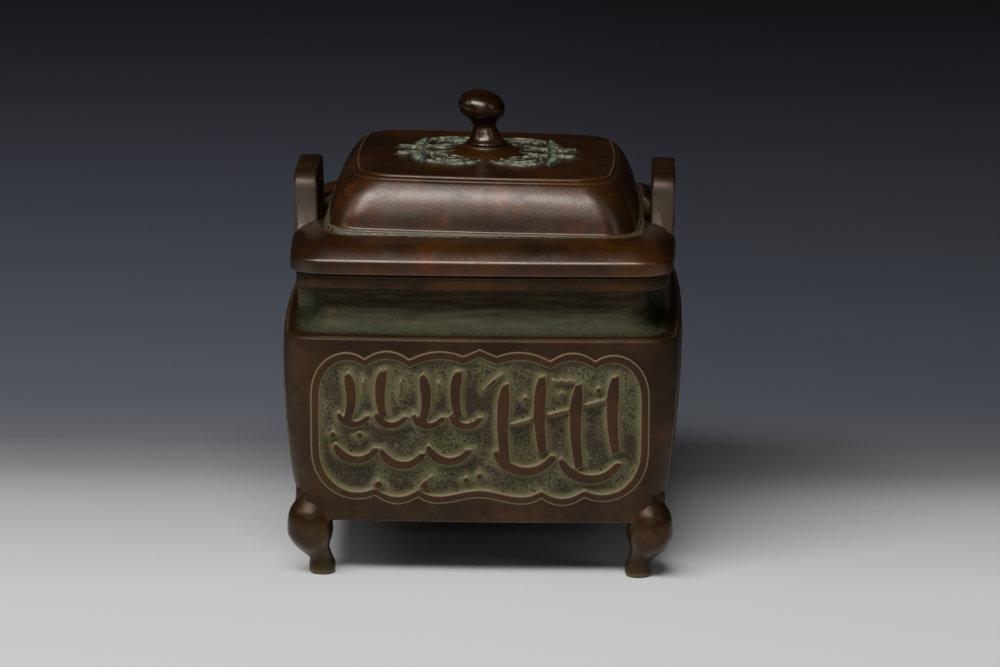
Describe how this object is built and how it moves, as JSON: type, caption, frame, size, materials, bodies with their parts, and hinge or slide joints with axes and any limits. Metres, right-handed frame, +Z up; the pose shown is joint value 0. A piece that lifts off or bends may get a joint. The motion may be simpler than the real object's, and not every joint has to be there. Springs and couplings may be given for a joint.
{
  "type": "lidded bronze incense burner",
  "caption": "Square bowed cast bronze censer on four bulbous feet, with upright loop handles, lobed relief panels and a lift-off lid with a pierced top and a ball knob.",
  "frame": {"origin": "on the ground, under the middle of the square box", "axes": "+Z up; the front looks along -Y; the two loop handles stand on the +X and -X sides"},
  "size_m": [0.1616, 0.1616, 0.1872],
  "materials": {
    "bronze_vessel": "dark brown patinated cast bronze with dusty green verdigris in the recesses",
    "bronze_lid": "dark red-brown patinated cast bronze, softly polished, with pale green in the piercing",
    "bronze_knob": "dark red-brown patinated cast bronze, polished by handling"
  },
  "bodies": {
    "root": {"vessel": "bronze_vessel", "lid": "bronze_lid", "knob": "bronze_knob"}
  },
  "joints": []
}
